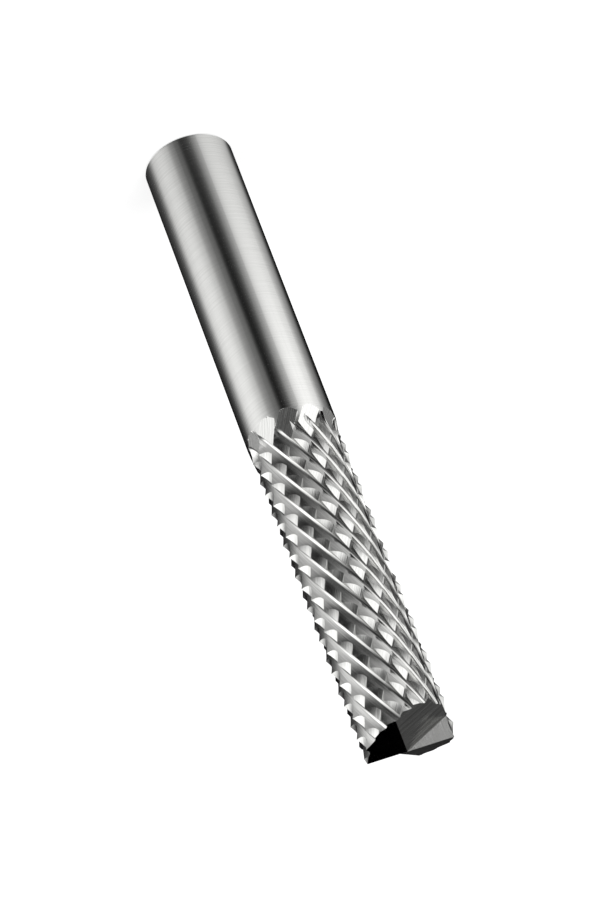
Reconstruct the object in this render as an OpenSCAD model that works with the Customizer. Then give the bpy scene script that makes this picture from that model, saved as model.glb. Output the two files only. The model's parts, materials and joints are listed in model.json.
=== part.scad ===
// Solid carbide rotary burr, ground from one plain rod: a smooth shank, a cylindrical cutting
// head with right-hand flutes crossed by left-hand chip-breaking grooves, and a two-edged end.
// The burr stands on its shank end at the origin and points up along Z. All sizes in mm.

/* [Rod] */
// Diameter of the rod, which is the shank and the circle of the tooth tips
rod_d = 6.35; // [4:0.05:10]
// Length over everything, from the shank end to the ridge of the cutting end
overall_l = 50.8; // [46:0.1:90]
// Small chamfer around the shank end
shank_chamfer = 0.15; // [0.05:0.01:0.5]
// Length of the toothed head, from the highest run-out arch to the ridge of the cutting end
head_l = 26.25; // [12:0.05:36]

/* [Flutes] */
// Number of right-hand flutes around the head
flute_n = 12; // [8:1:14]
// Height in which one flute goes once around the rod
flute_lead = 35; // [25:0.5:60]
// Depth of a flute at its root
flute_depth = 0.31; // [0.15:0.01:0.4]
// Share of the tooth pitch taken by the steep cutting face
flute_face = 0.185; // [0.1:0.005:0.3]
// Radius of the arch in which a flute rises to the surface near the shank
flute_exit_r = 0.9; // [0.5:0.1:6]
// How much further down the head a flute ends at its cutting face than at its back
flute_exit_drop = 1.05; // [0:0.05:2]
// Angle of the first flute crest around the axis at the shank end
flute_phase = -9.6; // [-30:0.1:30]

/* [Cross grooves] */
// Number of left-hand chip-breaking grooves around the head
cross_n = 15; // [9:1:18]
// Height in which one cross groove goes once around the rod
cross_lead = 37.4; // [25:0.1:60]
// Depth of a cross groove
cross_depth = 0.4; // [0.2:0.01:0.5]
// Share of the groove pitch taken by the steep wall under each crest
cross_face = 0.05; // [0.03:0.005:0.15]
// Share of the groove pitch taken by the narrow root
cross_root = 0.15; // [0.05:0.01:0.3]
// How far the cross grooves start below the highest flute arch
cross_start = 0.36; // [0:0.01:3]
// Radius of the curve in which a cross groove rises to the surface near the shank
cross_exit_r = 1.6; // [0.5:0.1:8]
// Angle of the first cross groove crest around the axis at the shank end
cross_phase = 2; // [-24:0.1:24]

/* [Cutting end] */
// Angle of the end ridge around the axis, measured from the X axis
ridge_angle = 173.8; // [0:0.1:360]
// Slope of the end face on the side of the first gash, down from the ridge
first_relief = 15; // [8:0.5:30]
// Slope of the end face on the side of the second gash, down from the ridge
second_relief = 21.2; // [8:0.1:30]
// Lean of the gash face that makes each end cutting edge, from upright
gash_face_lean = 3.5; // [1:0.5:40]
// Slope of the gash floor along the cutting edge, falling outwards
gash_floor_out = 26.6; // [8:0.1:35]
// Slope of the first gash floor across the cutting edge, falling ahead of it
first_floor_ahead = 17.9; // [10:0.1:35]
// Slope of the second gash floor across the cutting edge, falling ahead of it
second_floor_ahead = 31.1; // [10:0.1:40]
// How far the first gash runs past the axis
first_gash_past = 0.29; // [0:0.01:0.5]
// How far the second gash stops short of the axis
second_gash_short = 0.6; // [0:0.01:1]

/* [Hidden] */

rod_r = rod_d / 2;
shank_l = overall_l - head_l;
// The tips are ground a hair under the rod. The head starts inside the shank, and the shank
// surface stops just short of the highest arch.
tip_under = 0.01;
arch_gap = 0.05;
tip_r = rod_r - tip_under;
head_inset = 0.6;
head_bottom = shank_l - head_inset;
carbide = [0.62, 0.63, 0.65];
round_facets = 96;
// Side of the blocks that cut the end
block = 4 * rod_d;

// Mesh lines over one flute pitch and over one cross groove pitch, as shares of the pitch
least_step = 0.05;
back_step = (1 - flute_face) / 3;
flute_lines = [0, flute_face, flute_face + back_step, 1 - back_step];
groove_rise = cross_face + cross_root;
groove_meet = 1 - (1 - groove_rise) * flute_depth / cross_depth;
groove_lines = [0, cross_face, groove_rise, max(groove_meet, groove_rise + least_step),
                (1 + groove_meet) / 2];
flute_steps = len(flute_lines);
groove_steps = len(groove_lines);
columns = flute_n * flute_steps;

// Height gained for one whole turn of difference between the two helices
cross_rise = 1 / (1 / flute_lead + 1 / cross_lead);
phase_turns = (flute_phase - cross_phase) / 360;

// Line number to pitches: whole pitches plus the share inside one pitch
function pitches(i, lines) = floor(i / len(lines)) + lines[i - floor(i / len(lines)) * len(lines)];
// Height and angle where flute pitch u meets cross pitch v, and the cross pitch at a height
function line_z(u, v) = (v / cross_n - u / flute_n - phase_turns) * cross_rise;
function line_angle(u, z) = 360 * (u / flute_n + z / flute_lead) + flute_phase;
function cross_at(u, z) = cross_n * (z / cross_rise + u / flute_n + phase_turns);

// Radius on a straight ground face between two radii r1 and r2 that lie w degrees apart
function face_r(r1, r2, w, a) = r1 * r2 * sin(w) / (r1 * sin(a) + r2 * sin(w - a));
function share(x) = x - floor(x);

// Flute profile: a steep cutting face down to the root, then a wide flat back up to the crest
function flute_r(s) =
    s < flute_face ? tip_r - flute_depth * s / flute_face
    : face_r(tip_r - flute_depth, tip_r, (1 - flute_face) * 360 / flute_n,
             (s - flute_face) * 360 / flute_n);

// Cross groove profile: a steep wall, a narrow root, then a wide wall up to the crest
function cross_r(s) =
    s < cross_face ? tip_r - cross_depth * s / cross_face
    : s < groove_rise ? tip_r - cross_depth
    : face_r(tip_r - cross_depth, tip_r, (1 - groove_rise) * 360 / cross_n,
             (s - groove_rise) * 360 / cross_n);

// A cross groove ends square to its own run, so its end shifts by this much over one pitch
cross_exit_drop = PI * rod_d / cross_n * sin(2 * atan(PI * rod_d / cross_lead)) / 2;

// How far a groove has risen at height z, when its full depth starts at height full_z
function rise(z, full_z, exit_r) = pow(max(full_z - z, 0), 2) / (2 * exit_r);
flute_reach = max([for (s = [0:0.05:1])
    sqrt(2 * flute_exit_r * (tip_r - flute_r(s))) - flute_exit_drop * (1 - s)]);
flute_full_z = shank_l + flute_reach;
cross_full_z = shank_l + cross_start + sqrt(2 * cross_exit_r * cross_depth) + cross_exit_drop;

function tooth_r(u, v, z) =
    min(tip_r,
        flute_r(share(u)) + rise(z, flute_full_z + flute_exit_drop * (1 - share(u)), flute_exit_r),
        cross_r(share(v)) + rise(z, cross_full_z - cross_exit_drop * (1 - share(v)), cross_exit_r));

function tooth_point(u, v, z) =
    let (r = tooth_r(u, v, z), a = line_angle(u, z)) [r * cos(a), r * sin(a), z];

// Count of the cross lines below pitch v, and the first and last cross line on flute line i
tiny = 0.001;
function lines_below(v) =
    floor(v) * groove_steps + len([for (s = groove_lines) if (s < v - floor(v)) s]);
function first_line(i) = lines_below(cross_at(pitches(i, flute_lines), head_bottom) + tiny);
function last_line(i) = lines_below(cross_at(pitches(i, flute_lines), overall_l) - tiny) - 1;

// Toothed head as one closed skin. Each column follows a flute line and is cut by cross lines.
module toothed_head() {
    starts = [for (i = [0:columns - 1]) first_line(i)];
    ends = [for (i = [0:columns - 1]) last_line(i)];
    offsets = [for (i = 0, sum = 0; i < columns; sum = sum + ends[i] - starts[i] + 3, i = i + 1) sum];
    turn_lines = cross_n * groove_steps;
    points = [for (i = [0:columns - 1]) let (u = pitches(i, flute_lines))
        each [
            tooth_point(u, cross_at(u, head_bottom), head_bottom),
            for (j = [starts[i]:ends[i]]) let (v = pitches(j, groove_lines))
                tooth_point(u, v, line_z(u, v)),
            tooth_point(u, cross_at(u, overall_l), overall_l)
        ]];
    // The last column joins the first, one whole turn of cross lines further on
    function spot(i, j) =
        let (c = i % columns, k = j - (i >= columns ? turn_lines : 0))
        offsets[c] + min(max(k, starts[c] - 1), ends[c] + 1) - starts[c] + 1;
    function low(i) = starts[i % columns] + (i >= columns ? turn_lines : 0) - 1;
    function high(i) = ends[i % columns] + (i >= columns ? turn_lines : 0);
    skin = [for (i = [0:columns - 1], j = [min(low(i), low(i + 1)):max(high(i), high(i + 1))])
        let (a = spot(i, j), b = spot(i + 1, j), c = spot(i + 1, j + 1), d = spot(i, j + 1))
        each [if (a != b && b != c) [a, c, b], if (a != d && c != d) [a, d, c]]];
    bottom = [for (i = [0:columns - 1]) offsets[i]];
    top = [for (i = [columns - 1:-1:0]) spot(i, high(i) + 1)];
    polyhedron(points, concat(skin, [bottom, top]), convexity = 10);
}

// Everything above a plane that passes through the origin and faces up
module above() {
    translate([-block / 2, -block / 2, 0]) cube(block);
}

// Gash that makes one end cutting edge: a leaning face on the ridge and a floor that falls
// outwards and ahead. It crosses the ridge at start_x.
module gash(start_x, floor_ahead) {
    floor_turn = atan2(tan(floor_ahead), tan(gash_floor_out));
    floor_slope = atan(norm([tan(gash_floor_out), tan(floor_ahead)]));
    intersection() {
        rotate([-90 + gash_face_lean, 0, 0]) above();
        translate([start_x, 0, 0])
            rotate([0, 0, floor_turn]) rotate([0, floor_slope, 0]) above();
    }
}

// The end is ground to a low roof, and a gash on each side of the ridge opens a cutting edge.
module end_cuts() {
    translate([0, 0, overall_l]) rotate([0, 0, ridge_angle]) {
        rotate([-first_relief, 0, 0]) above();
        rotate([second_relief, 0, 0]) above();
        gash(-first_gash_past, first_floor_ahead);
        rotate([0, 0, 180]) gash(second_gash_short, second_floor_ahead);
    }
}

module shank() {
    cylinder(h = shank_chamfer, r1 = rod_r - shank_chamfer, r2 = rod_r, $fn = round_facets);
    translate([0, 0, shank_chamfer])
        cylinder(h = shank_l - arch_gap - shank_chamfer, r = rod_r, $fn = round_facets);
}

module burr() {
    color(carbide) difference() {
        union() {
            shank();
            toothed_head();
        }
        end_cuts();
    }
}

burr();
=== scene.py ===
# %% [markdown]
# # A solid carbide rotary burr
# The burr is ground from one rod of tungsten carbide. A smooth shank goes into a collet, and a
# toothed head does the cutting. The CAD model comes first: it is loaded as a fixed frame in
# metres, and everything here is fitted to it. The head is then rebuilt with many more facets,
# because the light on its small ground faces is what makes the tool look real.

# %% Load the frame
import json
import math

import bmesh
import bpy
import numpy as np
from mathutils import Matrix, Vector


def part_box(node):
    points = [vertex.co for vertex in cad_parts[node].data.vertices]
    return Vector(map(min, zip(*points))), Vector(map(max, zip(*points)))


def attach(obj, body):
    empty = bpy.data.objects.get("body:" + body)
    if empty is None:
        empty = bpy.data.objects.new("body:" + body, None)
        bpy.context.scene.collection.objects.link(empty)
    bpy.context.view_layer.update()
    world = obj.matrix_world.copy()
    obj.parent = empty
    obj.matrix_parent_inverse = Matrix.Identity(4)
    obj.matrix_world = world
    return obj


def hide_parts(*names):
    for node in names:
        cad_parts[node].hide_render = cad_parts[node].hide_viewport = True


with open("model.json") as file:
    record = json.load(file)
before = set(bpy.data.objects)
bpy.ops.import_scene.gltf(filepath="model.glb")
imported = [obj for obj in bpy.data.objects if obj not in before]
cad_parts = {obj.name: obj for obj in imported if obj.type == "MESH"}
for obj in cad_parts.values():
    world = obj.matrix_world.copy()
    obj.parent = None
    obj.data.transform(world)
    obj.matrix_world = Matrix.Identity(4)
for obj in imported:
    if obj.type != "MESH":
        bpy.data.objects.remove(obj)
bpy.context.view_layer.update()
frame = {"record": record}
MM = 0.001
low_corner, high_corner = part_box("burr")
print("CAD box in mm:", [round(v / MM, 3) for v in list(low_corner) + list(high_corner)])

# %% [markdown]
# ## Sizes
# These are the sizes of the ground tool in millimetres and degrees. They are the same as in the
# CAD source, so the fine model lies on the solid one, apart from the rounded roots below and the
# tips, which reach the full radius of the rod. The rod's size and length are read from the frame.

# %% Sizes of the rod and the teeth
shank_mount = frame["record"]["mounts"][0]
ROD_R = shank_mount["dims"]["r_mm"]
OVERALL_L = high_corner[2] / MM
HEAD_L = 26.25
SHANK_L = OVERALL_L - HEAD_L
SHANK_CHAMFER = 0.15

FLUTE_N = 12
FLUTE_LEAD = 35.0
FLUTE_DEPTH = 0.31
FLUTE_FACE = 0.185
FLUTE_EXIT_R = 0.9
FLUTE_EXIT_DROP = 1.05
FLUTE_PHASE = -9.6

CROSS_N = 15
CROSS_LEAD = 37.4
CROSS_DEPTH = 0.4
CROSS_FACE = 0.05
CROSS_ROOT = 0.15
CROSS_START = 0.36
CROSS_EXIT_R = 1.6
CROSS_PHASE = 2.0
GROOVE_RISE = CROSS_FACE + CROSS_ROOT
print("Shank length in mm:", round(SHANK_L, 2), " radius:", ROD_R)

# %% [markdown]
# ## Rounded roots
# The corner of a grinding wheel is never quite sharp, so a real groove has a slightly round root.
# How round can't be measured in the photograph. These values, and the tilt of the narrow strip
# at the root of a cross groove, were picked: several sets were rendered beside the
# photograph, and this one drew the bright line along each groove best. The solid keeps sharp
# roots, so the grooves here are 0.03 to 0.05 mm shallower.

# %% Rounding of the roots
FLUTE_ROUNDING = 0.045
CROSS_ROUNDING = 0.03
STRIP_DROP = 0.08
print("Rounding of the roots in mm:", FLUTE_ROUNDING, CROSS_ROUNDING)

# %% [markdown]
# ## Profiles
# A grinding wheel leaves a groove with a steep face and a wide flat one. The flutes turn right
# and make the cutting edges. The cross grooves turn left and chop each edge into short teeth.
# Each groove is written as a radius over one pitch, from crest to crest. A flat face between two
# radii is a straight line seen along the rod, so its radius follows the sine rule.

# %% Radius over one flute pitch and over one cross groove pitch
PROFILE_SAMPLES = 400


def flat_face(r_from, r_to, width, angle):
    """Radius on a straight line between two radii that lie width radians apart."""
    return r_from * r_to * np.sin(width) / (r_from * np.sin(angle) + r_to * np.sin(width - angle))


def rounded_valley(steep, wide, rounding):
    """The higher of two faces, with a rounded root where they meet."""
    return (steep + wide) / 2 + np.sqrt(((steep - wide) / 2) ** 2 + rounding ** 2)


def flute_radius(share):
    width = (1 - FLUTE_FACE) * 2 * np.pi / FLUTE_N
    root = ROD_R - FLUTE_DEPTH
    back = flat_face(root, ROD_R, width, (share - FLUTE_FACE) * 2 * np.pi / FLUTE_N)
    face = ROD_R - FLUTE_DEPTH * share / FLUTE_FACE
    return rounded_valley(face, back, FLUTE_ROUNDING)


def cross_radius(share):
    width = (1 - GROOVE_RISE) * 2 * np.pi / CROSS_N
    root = ROD_R - CROSS_DEPTH
    wall = flat_face(root, ROD_R, width, (share - GROOVE_RISE) * 2 * np.pi / CROSS_N)
    steep = ROD_R - (CROSS_DEPTH - STRIP_DROP) * share / CROSS_FACE
    strip = root + STRIP_DROP * (GROOVE_RISE - share) / CROSS_ROOT
    return rounded_valley(rounded_valley(steep, strip, CROSS_ROUNDING), wall, CROSS_ROUNDING)


def share_at_depth(radius, depth, start, end):
    """Share of the pitch, between start and end, where a rising face has this depth."""
    shares = np.linspace(start, end, PROFILE_SAMPLES)
    return np.interp(ROD_R - depth, radius(shares), shares)


print("Depth at the roots in mm:", round(ROD_R - float(flute_radius(FLUTE_FACE)), 3),
      round(ROD_R - float(cross_radius(GROOVE_RISE)), 3))

# %% [markdown]
# ## Lattice
# The crests and roots of both grooves are helices, so they make a lattice around the rod. The
# mesh follows that lattice: every sharp edge then lies on an edge of the mesh. Both grooves use
# the same steps of depth, so the ridge where a flute meets a cross groove runs through mesh
# points as well. The rounded roots get a few more lines, close together.

# %% Mesh lines over one pitch
DEPTH_STEPS = 8
BACK_START = FLUTE_FACE * 1.4
shared_depths = FLUTE_DEPTH * np.arange(DEPTH_STEPS, 0, -1) / DEPTH_STEPS
face_lines = FLUTE_FACE * np.arange(DEPTH_STEPS) / DEPTH_STEPS
valley_lines = FLUTE_FACE * np.array([1, 1.1, 1.25])
back_lines = [share_at_depth(flute_radius, d, BACK_START, 1) for d in shared_depths[1:]]
flute_lines = np.concatenate([face_lines, valley_lines, back_lines])
root_lines = CROSS_FACE * np.array([0, 0.5, 0.85, 1.0, 1.25, 1.9, 2.8, 3.6, 4.0, 4.4])
wall_lines = [share_at_depth(cross_radius, d, GROOVE_RISE, 1) for d in shared_depths]
groove_lines = np.concatenate([root_lines, wall_lines])
print("Mesh lines per flute:", len(flute_lines), " per cross groove:", len(groove_lines))

# %% [markdown]
# ## Run-out
# Near the shank the wheel leaves the rod, and each groove ends in a small round arch. The groove
# gets shallower by the curve of a circle, and the arch lies square to the groove's own run.

# %% Depth left in a groove near its end
cross_slope = math.atan(2 * math.pi * ROD_R / CROSS_LEAD)
CROSS_EXIT_DROP = 2 * math.pi * ROD_R / CROSS_N * math.sin(2 * cross_slope) / 2


def rise(z, full_z, exit_r):
    """How far a groove has risen at height z, when its full depth starts at height full_z."""
    return np.clip(full_z - z, 0, None) ** 2 / (2 * exit_r)


def arch_length(share):
    """Height over which a flute rises from its full depth to the surface of the rod."""
    return np.sqrt(2 * FLUTE_EXIT_R * np.clip(ROD_R - flute_radius(share), 0, None))


steps = np.linspace(0, 1, 21)
FLUTE_FULL_Z = SHANK_L + np.max(arch_length(steps) - FLUTE_EXIT_DROP * (1 - steps))
CROSS_FULL_Z = SHANK_L + CROSS_START + math.sqrt(2 * CROSS_EXIT_R * CROSS_DEPTH) + CROSS_EXIT_DROP


def groove_radii(u, v, z):
    """Radius left by the flutes and by the cross grooves, at pitch counts u and v."""
    su, sv = u - np.floor(u), v - np.floor(v)
    flute = flute_radius(su) + rise(z, FLUTE_FULL_Z + FLUTE_EXIT_DROP * (1 - su), FLUTE_EXIT_R)
    cross = cross_radius(sv) + rise(z, CROSS_FULL_Z - CROSS_EXIT_DROP * (1 - sv), CROSS_EXIT_R)
    return flute, cross


print("Full depth starts at z in mm:", round(float(FLUTE_FULL_Z), 2), round(CROSS_FULL_Z, 2))

# %% [markdown]
# ## Places on the rod
# Every point of the head lies at a flute pitch count u and a cross pitch count v. The two counts
# turn in opposite ways, so together they give the height, and u and the height give the angle.

# %% Pitch counts, heights and points
PHASE_TURNS = (FLUTE_PHASE - CROSS_PHASE) / 360
# Height gained for one whole turn of difference between the two helices
CROSS_RISE = 1 / (1 / FLUTE_LEAD + 1 / CROSS_LEAD)


def cross_count(u, z):
    return CROSS_N * (z / CROSS_RISE + u / FLUTE_N + PHASE_TURNS)


def height_at(u, v):
    return (v / CROSS_N - u / FLUTE_N - PHASE_TURNS) * CROSS_RISE


def point_on_rod(u, z, r):
    angle = 2 * np.pi * (u / FLUTE_N + z / FLUTE_LEAD) + math.radians(FLUTE_PHASE)
    return np.stack([r * np.cos(angle), r * np.sin(angle), z + 0 * r], axis=-1)


print("Cross grooves along the head:", round(CROSS_N * HEAD_L / CROSS_RISE, 1))

# %% [markdown]
# ## Sharp ridges
# A ridge between two faces looks ragged when it crosses a mesh cell. So the points of each flute
# line slide a little along it: onto the ridges where a flute and a cross groove are equally
# deep, and onto the arch where the cut comes out of the rod.

# %% Slide the points onto the ridges
def slide(z, gap):
    """Move the mesh point nearest to each change of sign of the gap onto that change."""
    k = np.nonzero(gap[:-1] * gap[1:] < 0)[0]
    part = gap[k] / (gap[k] - gap[k + 1])
    nearer = np.where(part < 0.5, k, k + 1)
    place = z[k] + part * (z[k + 1] - z[k])
    free = (nearer > 0) & (nearer < len(z) - 1)
    z[nearer[free]] = place[free]


def follow_edges(u, z):
    for _ in range(2):
        flute, cross = groove_radii(u, cross_count(u, z), z)
        slide(z, np.where(np.minimum(flute, cross) < ROD_R, flute - cross, 1))
        flute, cross = groove_radii(u, cross_count(u, z), z)
        slide(z, np.minimum(flute, cross) - ROD_R)


trial = np.array([0.0, 1.0, 2.0, 3.0])
slide(trial, np.array([1.0, -1.0, -2.0, -3.0]))
print("The second point slides to the crossing:", trial.tolist())

# %% [markdown]
# ## Building the head
# One skin is made of columns that follow the flutes and rows that follow the cross grooves.
# Where a row would pass the bottom or the top, its point stays on that plane, and the flat
# triangles that this leaves are dropped. The head is a little too long, for the end cuts.

# %% Points of the head
LEAD_IN = 0.02
END_STOCK = 0.4
HEAD_BOTTOM = SHANK_L - LEAD_IN
HEAD_TOP = OVERALL_L + END_STOCK
TINY = 1e-4


def build_head():
    """Points of the head, how far the two cuts are apart in each, and the table of places."""
    columns = FLUTE_N * len(flute_lines)
    turn_rows = CROSS_N * len(groove_lines)
    first_row = int(math.floor(cross_count(0, HEAD_BOTTOM)) - 1) * len(groove_lines)
    last_row = int(math.ceil(cross_count(FLUTE_N, HEAD_TOP)) + 1) * len(groove_lines)
    rows = np.arange(first_row, last_row)
    row_v = rows // len(groove_lines) + groove_lines[rows % len(groove_lines)]
    points, gaps = [], []
    place = np.zeros((columns + 1, len(rows)), dtype=int)
    count = 0
    for i in range(columns):
        u = i // len(flute_lines) + flute_lines[i % len(flute_lines)]
        z = height_at(u, row_v)
        inside = np.nonzero((z > HEAD_BOTTOM + TINY) & (z < HEAD_TOP - TINY))[0]
        z = np.concatenate([[HEAD_BOTTOM], z[inside], [HEAD_TOP]])
        follow_edges(u, z)
        flute, cross = groove_radii(u, cross_count(u, z), z)
        points.append(point_on_rod(u, z, np.minimum(ROD_R, np.minimum(flute, cross))))
        gaps.append(np.abs(flute - cross))
        place[i] = count + np.clip(np.arange(len(rows)) - inside[0] + 1, 0, len(inside) + 1)
        count += len(z)
    # The last column is the first one again, one whole turn of rows further on
    shifted = np.clip(np.arange(len(rows)) - turn_rows, 0, len(rows) - 1)
    place[columns] = place[0][shifted]
    return np.concatenate(points), np.concatenate(gaps), place


head_points, head_gaps, head_place = build_head()
print("Head points:", len(head_points))

# %% Triangles of the head
def skin_faces(place, gaps):
    """Two triangles for each cell, split along the ridge where a flute meets a cross groove."""
    a, b = place[:-1, :-1].ravel(), place[1:, :-1].ravel()
    c, d = place[1:, 1:].ravel(), place[:-1, 1:].ravel()
    along = gaps[a] + gaps[c] <= gaps[b] + gaps[d]
    first = np.where(along[:, None], np.stack([a, c, b], 1), np.stack([a, d, b], 1))
    second = np.where(along[:, None], np.stack([a, d, c], 1), np.stack([b, d, c], 1))
    faces = np.concatenate([first, second])[:, ::-1]
    i, j, k = faces.T
    return faces[(i != j) & (j != k) & (i != k)]


head_faces = skin_faces(head_place, head_gaps)
print("Head triangles:", len(head_faces))

# %% [markdown]
# ## Shank
# The shank continues the columns of the head down to its chamfer, and a flat cap closes each
# end, so the whole rod is one closed mesh.

# %% Shank and caps
def add_shank(points, faces, place):
    """Rings from the head's lowest ring down to the chamfer, then the two flat caps."""
    ring = place[:-1, 0]
    top = place[:-1, -1][::-1]
    ring_xy = points[ring][:, :2] / ROD_R
    shank_rings = [(SHANK_L / 2, ROD_R), (SHANK_CHAMFER, ROD_R), (0, ROD_R - SHANK_CHAMFER)]
    polygons = [tuple(int(k) for k in face) for face in faces]
    all_points = [points]
    count = len(points)
    for z, r in shank_rings:
        lower = np.arange(count, count + len(ring))
        all_points.append(np.column_stack([ring_xy * r, np.full(len(ring), z)]))
        for k in range(len(ring)):
            k2 = (k + 1) % len(ring)
            polygons.append((int(ring[k]), int(lower[k]), int(lower[k2]), int(ring[k2])))
        ring = lower
        count += len(lower)
    polygons.append(tuple(int(k) for k in ring[::-1]))
    polygons.append(tuple(int(k) for k in top[::-1]))
    return np.concatenate(all_points), polygons


def make_mesh(name, points_mm, polygons):
    mesh = bpy.data.meshes.new(name)
    mesh.from_pydata((np.asarray(points_mm) * MM).tolist(), [], polygons)
    mesh.update()
    obj = bpy.data.objects.new(name, mesh)
    bpy.context.collection.objects.link(obj)
    return obj


burr = make_mesh("burr_ground", *add_shank(head_points, head_faces, head_place))
print("Rod mesh faces:", len(burr.data.polygons))

# %% [markdown]
# ## Cutting end
# The end is ground like that of a small end mill. Two faces slope down from a ridge across the
# axis, and a gash on each side opens a cutting edge on that ridge. All six faces are flat, so
# each cut is a plane, and a cutter is a large block that lies above its planes.

# %% Angles of the end faces
RIDGE_ANGLE = 173.8
FIRST_RELIEF = 15.0
SECOND_RELIEF = 21.2
GASH_FACE_LEAN = 3.5
GASH_FLOOR_OUT = 26.6
FIRST_FLOOR_AHEAD = 17.9
SECOND_FLOOR_AHEAD = 31.1
FIRST_GASH_PAST = 0.29
SECOND_GASH_SHORT = 0.6


def slope(degrees):
    return math.tan(math.radians(degrees))


print("Drop of the end faces at the rim in mm:", round(ROD_R * slope(FIRST_RELIEF), 2),
      round(ROD_R * slope(SECOND_RELIEF), 2))

# %% Cutter blocks
BLOCK_SIDE = 14.0
BLOCK_REACH = 4.0
SAME_POINT = 1e-6


def block_above(planes):
    """A convex block above all the given planes, each written as a normal and a point."""
    cell = bpy.data.meshes.new("cutter")
    work = bmesh.new()
    bmesh.ops.create_cube(work, size=BLOCK_SIDE)
    for vert in work.verts:
        vert.co.z += BLOCK_SIDE / 2 - BLOCK_REACH
    for normal, point in planes:
        cut = bmesh.ops.bisect_plane(
            work, geom=work.verts[:] + work.edges[:] + work.faces[:], dist=SAME_POINT,
            plane_co=point, plane_no=normal, clear_inner=True)
        edges = [e for e in cut["geom_cut"] if isinstance(e, bmesh.types.BMEdge)]
        bmesh.ops.holes_fill(work, edges=edges)
    bmesh.ops.recalc_face_normals(work, faces=work.faces[:])
    work.to_mesh(cell)
    work.free()
    return cell


def cut_end(obj, planes, turn):
    mesh = block_above(planes)
    cutter = bpy.data.objects.new("cutter", mesh)
    bpy.context.collection.objects.link(cutter)
    cutter.location = (0, 0, OVERALL_L * MM)
    cutter.rotation_euler = (0, 0, math.radians(RIDGE_ANGLE + turn))
    cutter.scale = (MM, MM, MM)
    bpy.context.view_layer.update()
    step = obj.modifiers.new("end cut", "BOOLEAN")
    step.operation = "DIFFERENCE"
    step.solver = "MANIFOLD"
    step.object = cutter
    graph = bpy.context.evaluated_depsgraph_get()
    result = bpy.data.meshes.new_from_object(obj.evaluated_get(graph))
    obj.modifiers.clear()
    obj.data = result
    bpy.data.objects.remove(cutter)
    print("After the cut:", len(obj.data.polygons), "faces")


print("Side of a cutter block in mm:", BLOCK_SIDE)

# %% Cut the two end faces and the two gashes
cut_end(burr, [((0, slope(FIRST_RELIEF), 1), (0, 0, 0))], 0)
cut_end(burr, [((0, slope(SECOND_RELIEF), 1), (0, 0, 0))], 180)
rake_plane = ((0, 1 / slope(GASH_FACE_LEAN), 1), (0, 0, 0))
first_floor = ((slope(GASH_FLOOR_OUT), slope(FIRST_FLOOR_AHEAD), 1), (-FIRST_GASH_PAST, 0, 0))
second_floor = ((slope(GASH_FLOOR_OUT), slope(SECOND_FLOOR_AHEAD), 1), (SECOND_GASH_SHORT, 0, 0))
cut_end(burr, [rake_plane, first_floor], 0)
cut_end(burr, [rake_plane, second_floor], 180)

# %% [markdown]
# ## Which wheel made each face
# The shank, the flutes, the cross grooves and the end faces are ground in four different steps.
# A face belongs to the step that leaves the lowest surface at its place. A face of the end lies
# well under that surface, or faces up.

# %% Sort the faces
ON_SHANK, ON_FLUTE, ON_CROSS, ON_END = range(4)
SHANK_MARGIN = 0.01
END_MARGIN = 0.03
FACING_UP = 0.8


def read(items, name, width, kind=float):
    """One property of every item, as an array with this many columns."""
    values = np.zeros(len(items) * width, dtype=kind)
    items.foreach_get(name, values)
    return values.reshape(-1, width)


def face_places(mesh):
    """Centre of each face, its turn around the axis, and its radii left by both grooves."""
    centres = read(mesh.polygons, "center", 3) / MM
    turns = np.arctan2(centres[:, 1], centres[:, 0]) / (2 * np.pi)
    z = centres[:, 2]
    u = FLUTE_N * (turns - z / FLUTE_LEAD - FLUTE_PHASE / 360)
    v = CROSS_N * (turns + z / CROSS_LEAD - CROSS_PHASE / 360)
    return centres, turns, u, *groove_radii(u, v, z)


def face_kinds(mesh):
    centres, _, _, flute, cross = face_places(mesh)
    normals = read(mesh.polygons, "normal", 3)
    z = centres[:, 2]
    radius = np.hypot(centres[:, 0], centres[:, 1])
    lowest = np.minimum(flute, cross)
    under = radius < np.minimum(lowest, ROD_R) - END_MARGIN
    end_face = (z > SHANK_L + HEAD_L / 2) & (under | (normals[:, 2] > FACING_UP))
    on_shank = (z < SHANK_L - SHANK_MARGIN) | (lowest > ROD_R)
    return np.select([end_face, on_shank, flute < cross], [ON_END, ON_SHANK, ON_FLUTE], ON_CROSS)


kinds = face_kinds(burr.data)
print("Faces on shank, flutes, cross grooves, end:", np.bincount(kinds, minlength=4).tolist())

# %% [markdown]
# ## Grinding marks
# Every face of the burr was made by a wheel, so it has fine lines along the wheel's path. A UV
# map carries the path: U runs across the lines and V along them, both in millimetres. The shank
# is ground between wheels, so its lines go around it. The faces of the teeth have lines along
# their own groove, and the end faces have lines along the gash.

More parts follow.
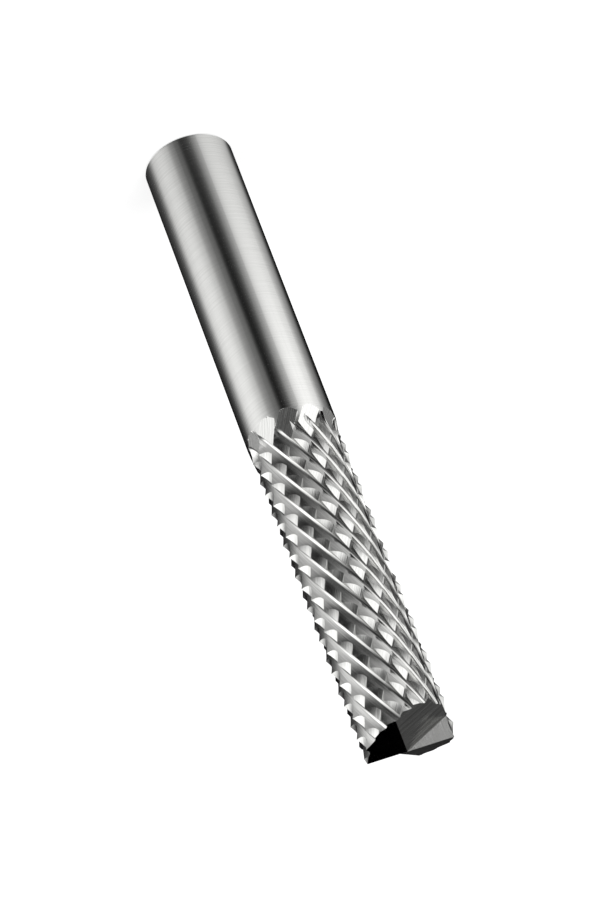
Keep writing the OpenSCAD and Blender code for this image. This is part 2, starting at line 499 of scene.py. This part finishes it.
# %% Lay the marks on the faces
def grind_uv(mesh, kinds):
    sizes = read(mesh.polygons, "loop_total", 1, np.int32)[:, 0]
    corners = read(mesh.loops, "vertex_index", 1, np.int32)[:, 0]
    p = (read(mesh.vertices, "co", 3) / MM)[corners]
    k = np.repeat(kinds, sizes)
    centre_turn = np.repeat(face_places(mesh)[1], sizes)
    turn = np.arctan2(p[:, 1], p[:, 0]) / (2 * np.pi)
    turn = centre_turn + (turn - centre_turn + 0.5) % 1.0 - 0.5
    around = turn * 2 * np.pi * ROD_R
    flute_angle = math.atan(2 * math.pi * ROD_R / FLUTE_LEAD)
    ridge = math.radians(RIDGE_ANGLE)
    ridge_x = p[:, 0] * math.cos(ridge) + p[:, 1] * math.sin(ridge)
    ridge_y = -p[:, 0] * math.sin(ridge) + p[:, 1] * math.cos(ridge)
    across = np.select(
        [k == ON_SHANK, k == ON_FLUTE, k == ON_CROSS],
        [p[:, 2],
         around * math.cos(flute_angle) - p[:, 2] * math.sin(flute_angle),
         around * math.cos(cross_slope) + p[:, 2] * math.sin(cross_slope)],
        ridge_y + p[:, 2] + ridge_x * slope(GASH_FLOOR_OUT))
    along = np.select(
        [k == ON_SHANK, k == ON_FLUTE, k == ON_CROSS],
        [around,
         around * math.sin(flute_angle) + p[:, 2] * math.cos(flute_angle),
         -around * math.sin(cross_slope) + p[:, 2] * math.cos(cross_slope)],
        ridge_x)
    layer = mesh.uv_layers.new(name="grind")
    layer.data.foreach_set("uv", np.column_stack([across, along]).ravel().astype(np.float32))


grind_uv(burr.data, kinds)
print("Marks laid in the UV map:", burr.data.uv_layers[0].name)

# %% [markdown]
# ## Three finishes
# The shank, the teeth and the end faces each get a finish of their own, so the mesh has three
# material slots. Only real corners stay sharp: the small turns over a rounded root are smooth.

# %% Material slots and sharp edges
SHARP_ANGLE = 8
SLOT_OF_KIND = np.array([0, 1, 1, 2], dtype=np.int32)

burr.data.materials.clear()
for _ in range(3):
    burr.data.materials.append(None)
burr.data.polygons.foreach_set("material_index", SLOT_OF_KIND[kinds])
burr.data.polygons.foreach_set("use_smooth", np.ones(len(burr.data.polygons), dtype=bool))
burr.data.set_sharp_from_angle(angle=math.radians(SHARP_ANGLE))
print("Faces on shank, teeth, end:", np.bincount(SLOT_OF_KIND[kinds], minlength=3).tolist())

# %% [markdown]
# ## Flat arches
# In the photograph the end of each flute has one even tone, like a flat facet. The mesh keeps the
# curved arch of the solid. Only its corner normals are set, to one facet that faces out from the
# middle of the pitch, and they turn back to the true normals further up the flute.

# %% Even normals over the arches
# Height of the facet above the arch's edge, the height over which its normals fade to the true
# ones, the height above the shank at which it faces out, and its slope towards the tip
ARCH_REACH = 2.2
ARCH_BLEND = 0.6
ARCH_MIDDLE = 1
ARCH_SLOPE = 0.09


def flatten_arches(mesh):
    sizes = read(mesh.polygons, "loop_total", 1, np.int32)[:, 0]
    centres, _, u, flute, cross = face_places(mesh)
    z = centres[:, 2]
    share = u - np.floor(u)
    on_arch = ((flute < np.minimum(cross, ROD_R)) & (share > FLUTE_FACE)
               & (z < SHANK_L + 2 * ARCH_REACH))
    middle = u - share + (1 + FLUTE_FACE) / 2
    arch_z = FLUTE_FULL_Z + FLUTE_EXIT_DROP * (1 - share) - arch_length(share)
    facing = (2 * np.pi * (middle / FLUTE_N + (SHANK_L + ARCH_MIDDLE) / FLUTE_LEAD)
              + math.radians(FLUTE_PHASE))
    facet = np.column_stack([np.cos(facing), np.sin(facing), np.full(len(z), ARCH_SLOPE)])
    weight = np.clip((ARCH_REACH - (z - arch_z)) / ARCH_BLEND, 0, 1) * on_arch
    print("Faces with the arch facet's normal:", int((weight > 0).sum()))
    weight = np.repeat(weight, sizes)[:, None]
    normals = read(mesh.corner_normals, "vector", 3)
    normals = normals * (1 - weight) + np.repeat(facet, sizes, axis=0) * weight
    normals /= np.linalg.norm(normals, axis=1)[:, None]
    mesh.normals_split_custom_set(normals.tolist())


flatten_arches(burr.data)

# %% [markdown]
# ## Helpers for materials
# Colours are written as sRGB hex values and turned to linear ones. One small function adds a
# node to a material with its settings and its links.

# %% Colour and node helpers
def linear(hex_value):
    channels = [int(hex_value[i:i + 2], 16) / 255 for i in (1, 3, 5)]
    return [c / 12.92 if c <= 0.04045 else ((c + 0.055) / 1.055) ** 2.4 for c in channels] + [1.0]


def add(tree, kind, inputs=None, **settings):
    node = tree.nodes.new(kind)
    for name, value in settings.items():
        setattr(node, name, value)
    for socket, value in (inputs or {}).items():
        if isinstance(value, bpy.types.NodeSocket):
            tree.links.new(value, node.inputs[socket])
        else:
            node.inputs[socket].default_value = value
    return node


def new_material(name):
    material = bpy.data.materials.new(name)
    material.use_nodes = True
    material.node_tree.nodes.clear()
    return material, material.node_tree


print("Linear value of mid grey:", round(linear("#808080")[0], 3))

# %% [markdown]
# ## Ground tungsten carbide
# Cemented carbide is a hard grey metal of tungsten carbide grains in cobalt. It can only be
# ground, so it is a bare metal with a fine satin sheen. A diamond wheel for such teeth has a grit
# of about 0.06 mm and leaves lines along each groove. Noise that is stretched along the V
# direction makes those lines. It varies the tone and the roughness a little, and a very shallow
# bump turns the light.

# %% One carbide finish
BUMP_HEIGHT = 0.02 * MM
# The noise lies mostly between these two values, which become the dark and the light lines
NOISE_LOW = 0.3
NOISE_HIGH = 0.7


def ground_carbide(name, dark, light, rough, rough_change, line_mm, line_length_mm, depth):
    """Dark and light are the tones of the lines, and depth is the strength of the bump."""
    material, tree = new_material(name)
    uv = add(tree, "ShaderNodeUVMap", uv_map="grind")
    stretch = add(tree, "ShaderNodeMapping", {"Vector": uv.outputs["UV"],
                  "Scale": (1 / line_mm, 1 / line_length_mm, 1)})
    lines = add(tree, "ShaderNodeTexNoise", {"Vector": stretch.outputs["Vector"],
                "Scale": 1.0, "Detail": 3.0, "Roughness": 0.6})
    spread = add(tree, "ShaderNodeMapRange", {"Value": lines.outputs["Fac"],
                 "From Min": NOISE_LOW, "From Max": NOISE_HIGH})
    tone = add(tree, "ShaderNodeMix", {"Factor": spread.outputs["Result"],
               6: linear(dark), 7: linear(light)}, data_type="RGBA")
    sheen = add(tree, "ShaderNodeMapRange", {"Value": spread.outputs["Result"],
                "To Min": rough - rough_change, "To Max": rough + rough_change})
    relief = add(tree, "ShaderNodeBump", {"Height": lines.outputs["Fac"],
                 "Strength": depth, "Distance": BUMP_HEIGHT})
    surface = add(tree, "ShaderNodeBsdfPrincipled", {"Base Color": tone.outputs[2],
                  "Metallic": 1.0, "Roughness": sheen.outputs["Result"],
                  "Normal": relief.outputs["Normal"]})
    add(tree, "ShaderNodeOutputMaterial", {"Surface": surface.outputs["BSDF"]})
    return material


print("Height of the grinding lines in mm:", BUMP_HEIGHT / MM)

# %% [markdown]
# A carbide rod is usually ground between two wheels, and the shank is the smoothest part in the
# photograph. The lines on the end faces are the strongest there, so they are the strongest here.
# All lines are drawn at 0.07 to 0.12 mm, a little coarser than the grit, because finer ones would
# not show in a picture of the whole tool. The roughness and tones were matched.

# %% The three carbide finishes
finishes = [
    ground_carbide("centreless ground carbide", "#D2D2D0", "#DADAD8",
                   rough=0.1, rough_change=0.02, line_mm=0.12, line_length_mm=6.0, depth=0.1),
    ground_carbide("diamond ground carbide", "#C6C6C4", "#E0E0DE",
                   rough=0.13, rough_change=0.03, line_mm=0.07, line_length_mm=3.0, depth=0.3),
    ground_carbide("diamond ground end face", "#A8A8A6", "#EAEAE8",
                   rough=0.16, rough_change=0.05, line_mm=0.12, line_length_mm=4.0, depth=0.8),
]
for slot, finish in enumerate(finishes):
    burr.data.materials[slot] = finish
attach(burr, "root")
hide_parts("burr")
print("Finishes:", [finish.name for finish in finishes])

# %% [markdown]
# ## Floor
# The burr stands on its shank end on a plain white table. The table keeps a soft shadow, and it
# is white to the camera and in reflections.

# %% The table
TABLE_HALF = 900
TABLE_Z = -0.02
TABLE_GLOW_SHARE = 0.7


def seen_directly(tree):
    """1 for rays from the camera, in reflections and through glass, and 0 for all others."""
    path = add(tree, "ShaderNodeLightPath")
    seen = add(tree, "ShaderNodeMath", {0: path.outputs["Is Camera Ray"],
               1: path.outputs["Is Glossy Ray"]}, operation="MAXIMUM")
    seen = add(tree, "ShaderNodeMath", {0: seen.outputs[0],
               1: path.outputs["Is Transmission Ray"]}, operation="MAXIMUM")
    return seen.outputs[0]


table_corners = [(x * TABLE_HALF, y * TABLE_HALF, TABLE_Z)
                 for x, y in ((-1, -1), (1, -1), (1, 1), (-1, 1))]
floor = make_mesh("table", table_corners, [(0, 1, 2, 3)])
floor_white, tree = new_material("white table")
diffuse = add(tree, "ShaderNodeBsdfDiffuse", {"Color": linear("#E6E6E6")})
glow = add(tree, "ShaderNodeEmission", {"Color": linear("#FFFFFF"),
           "Strength": seen_directly(tree)})
table_mix = add(tree, "ShaderNodeMixShader", {"Fac": TABLE_GLOW_SHARE, 1: diffuse.outputs[0],
                2: glow.outputs[0]})
add(tree, "ShaderNodeOutputMaterial", {"Surface": table_mix.outputs[0]})
floor.data.materials.append(floor_white)
floor.visible_glossy = False
print("Table side in metres:", 2 * TABLE_HALF * MM)

# %% [markdown]
# ## World
# The room is white to the camera, in reflections and through glass. As a light it is much
# dimmer, so that the lamps shape the shadow.

# %% The white room
ROOM_LIGHT = 0.3

world = bpy.data.worlds.new("white room")
bpy.context.scene.world = world
world.use_nodes = True
tree = world.node_tree
tree.nodes.clear()
strength = add(tree, "ShaderNodeMapRange", {"Value": seen_directly(tree), "To Min": ROOM_LIGHT,
               "To Max": 1.0})
sky = add(tree, "ShaderNodeBackground", {"Color": linear("#FFFFFF"),
          "Strength": strength.outputs["Result"]})
add(tree, "ShaderNodeOutputWorld", {"Surface": sky.outputs[0]})
print("World nodes:", len(tree.nodes))

# %% [markdown]
# ## Light tent
# Bare metal shows what stands around it, so a photographer of small tools builds a tent of white
# cloth with gaps of black between. The tent here is a globe around the burr that only the
# reflections see. It is black, with soft-edged cloth panels. Each panel is written as its azimuth
# (0 is the camera side, positive to the right of the picture) and elevation, half its width and
# height, the softness of its edges both ways, all in degrees, and its glow, where 1 is white.
# The panels don't copy a known set of lamps. They were tuned over many renders, by the tones
# across the shank, so the light and the finish were matched together, for this side.

# %% The cloth panels
CLOTH_LIMIT = 2.2
PANELS = {
    "left bank": (-80, -20, 32, 12, 16, 6, 2.0),
    "left bank middle": (-70, -38, 32, 5, 14, 4, 0.95),
    "left bank skirt": (-66, -52, 34, 10, 14, 5, 0.56),
    "left bank lip": (-24, -36, 19, 8, 4, 5, 0.19),
    "left rim fill": (-135, -41, 20, 4, 10, 3, 0.05),
    "right bank": (52, -20, 32, 11, 9, 4, 1.52),
    "right bank middle": (71, -36, 33, 6, 13, 5, 1.33),
    "right bank skirt": (85, -50, 50, 9, 15, 5, 0.45),
    "right side card": (118, -46, 14, 6, 8, 4, 0.45),
    "right side fill": (115, -26, 24, 12, 8, 6, 0.13),
    "top right card": (26, 22, 14, 9, 8, 5, 1.5),
    "upper right card": (58, 36, 12, 10, 8, 6, 0.4),
    "front card": (-3, 13, 12, 11, 6, 5, 2.0),
    "front strip": (4, -20, 5, 7, 4, 4, 0.3),
    "top left card": (-60, 16, 40, 12, 12, 8, 0.3),
    "overhead cloth": (0, 72, 70, 12, 15, 10, 0.35),
    "table edge in front": (19, -48, 24, 3, 8, 3, 0.2),
    "table under the burr": (0, -84, 180, 16, 20, 5, 0.4),
    "card behind, right": (134, 34, 15, 10, 8, 6, 0.11),
    "card behind": (-178, -14, 12, 8, 8, 6, 0.05),
}


def soft_step(distance, edge):
    return 0.5 - 0.5 * np.tanh(distance / edge)


def tent_glow(azimuth, elevation):
    total = 0.0
    for turn, height, half_width, half_height, side_edge, top_edge, glow in PANELS.values():
        off = abs((azimuth - turn + 180) % 360 - 180)
        around = soft_step(off - half_width, side_edge)
        upward = soft_step(abs(elevation - height) - half_height, top_edge)
        total += glow * around * upward
    return min(total, CLOTH_LIMIT)


print("Panels:", len(PANELS), " glow straight ahead:", round(float(tent_glow(0, 0)), 2))

# %% The tent
TENT_R = 500.0
TENT_STEP = 3


def aim(azimuth, elevation):
    """Direction from the burr, with azimuth 0 towards the camera."""
    turn, height = math.radians(azimuth), math.radians(elevation)
    return (-math.sin(turn) * math.cos(height), -math.cos(turn) * math.cos(height),
            math.sin(height))


def build_tent():
    azimuths = range(-180, 180, TENT_STEP)
    elevations = range(-90, 91, TENT_STEP)
    points, glow_values, faces = [], [], []
    for e in elevations:
        for a in azimuths:
            x, y, z = aim(a, e)
            points.append((x * TENT_R, y * TENT_R, z * TENT_R + OVERALL_L))
            glow_values.append(tent_glow(a, e))
    n = len(azimuths)
    for j in range(len(elevations) - 1):
        for i in range(n):
            i2 = (i + 1) % n
            faces.append((j * n + i, j * n + i2, (j + 1) * n + i2, (j + 1) * n + i))
    tent_obj = make_mesh("light_tent", points, faces)
    level = tent_obj.data.attributes.new("glow", "FLOAT", "POINT")
    level.data.foreach_set("value", np.array(glow_values, dtype=np.float32))
    return tent_obj


tent = build_tent()
cloth, tree = new_material("tent cloth")
level = add(tree, "ShaderNodeAttribute", attribute_name="glow")
light = add(tree, "ShaderNodeEmission", {"Color": linear("#FFFFFF"),
            "Strength": level.outputs["Fac"]})
add(tree, "ShaderNodeOutputMaterial", {"Surface": light.outputs[0]})
cloth.cycles.emission_sampling = "NONE"
tent.data.materials.append(cloth)
tent.visible_camera = False
tent.visible_diffuse = False
tent.visible_shadow = False
tent.visible_transmission = False
print("Tent faces:", len(tent.data.polygons))

# %% [markdown]
# ## Lamps
# Two large soft lamps above the burr light the table and give it the faint shadow of the shank.
# The metal doesn't show them, since its reflections come from the tent alone.

# %% Two softboxes
LAMP_DISTANCE = 0.8
LAMP_SIZE = 0.7


def soft_lamp(name, azimuth, elevation, power):
    data = bpy.data.lights.new(name, "AREA")
    data.shape = "DISK"
    data.size = LAMP_SIZE
    data.energy = power
    lamp = bpy.data.objects.new(name, data)
    lamp.location = [v * LAMP_DISTANCE for v in aim(azimuth, elevation)]
    lamp.rotation_euler = (math.radians(90 - elevation), 0, math.radians(-azimuth))
    lamp.visible_glossy = False
    bpy.context.collection.objects.link(lamp)


soft_lamp("key_softbox", azimuth=60, elevation=60, power=9.0)
soft_lamp("fill_softbox", azimuth=-70, elevation=55, power=7.0)
print("Lamps:", len(bpy.data.lights))

# %% [markdown]
# ## Camera
# The photograph looks at the burr from above its cutting end, and the rod runs from the upper
# left to the lower right of the picture. The camera keeps that angle with a long lens.

# %% Camera
CAMERA_PLACE = (-0.000167, -0.261881, 0.202731)
CAMERA_TURN = (-54.162, -17.161, 167.970)
camera_data = bpy.data.cameras.new("camera")
camera_data.lens = 188.63
camera_data.sensor_width = 36
camera_data.clip_start = 0.01
camera = bpy.data.objects.new("camera", camera_data)
camera.location = CAMERA_PLACE
camera.rotation_euler = [math.radians(a) for a in CAMERA_TURN]
bpy.context.collection.objects.link(camera)
bpy.context.scene.camera = camera
bpy.context.scene.view_settings.view_transform = "Standard"
print("Lens in mm:", round(camera_data.lens, 1))
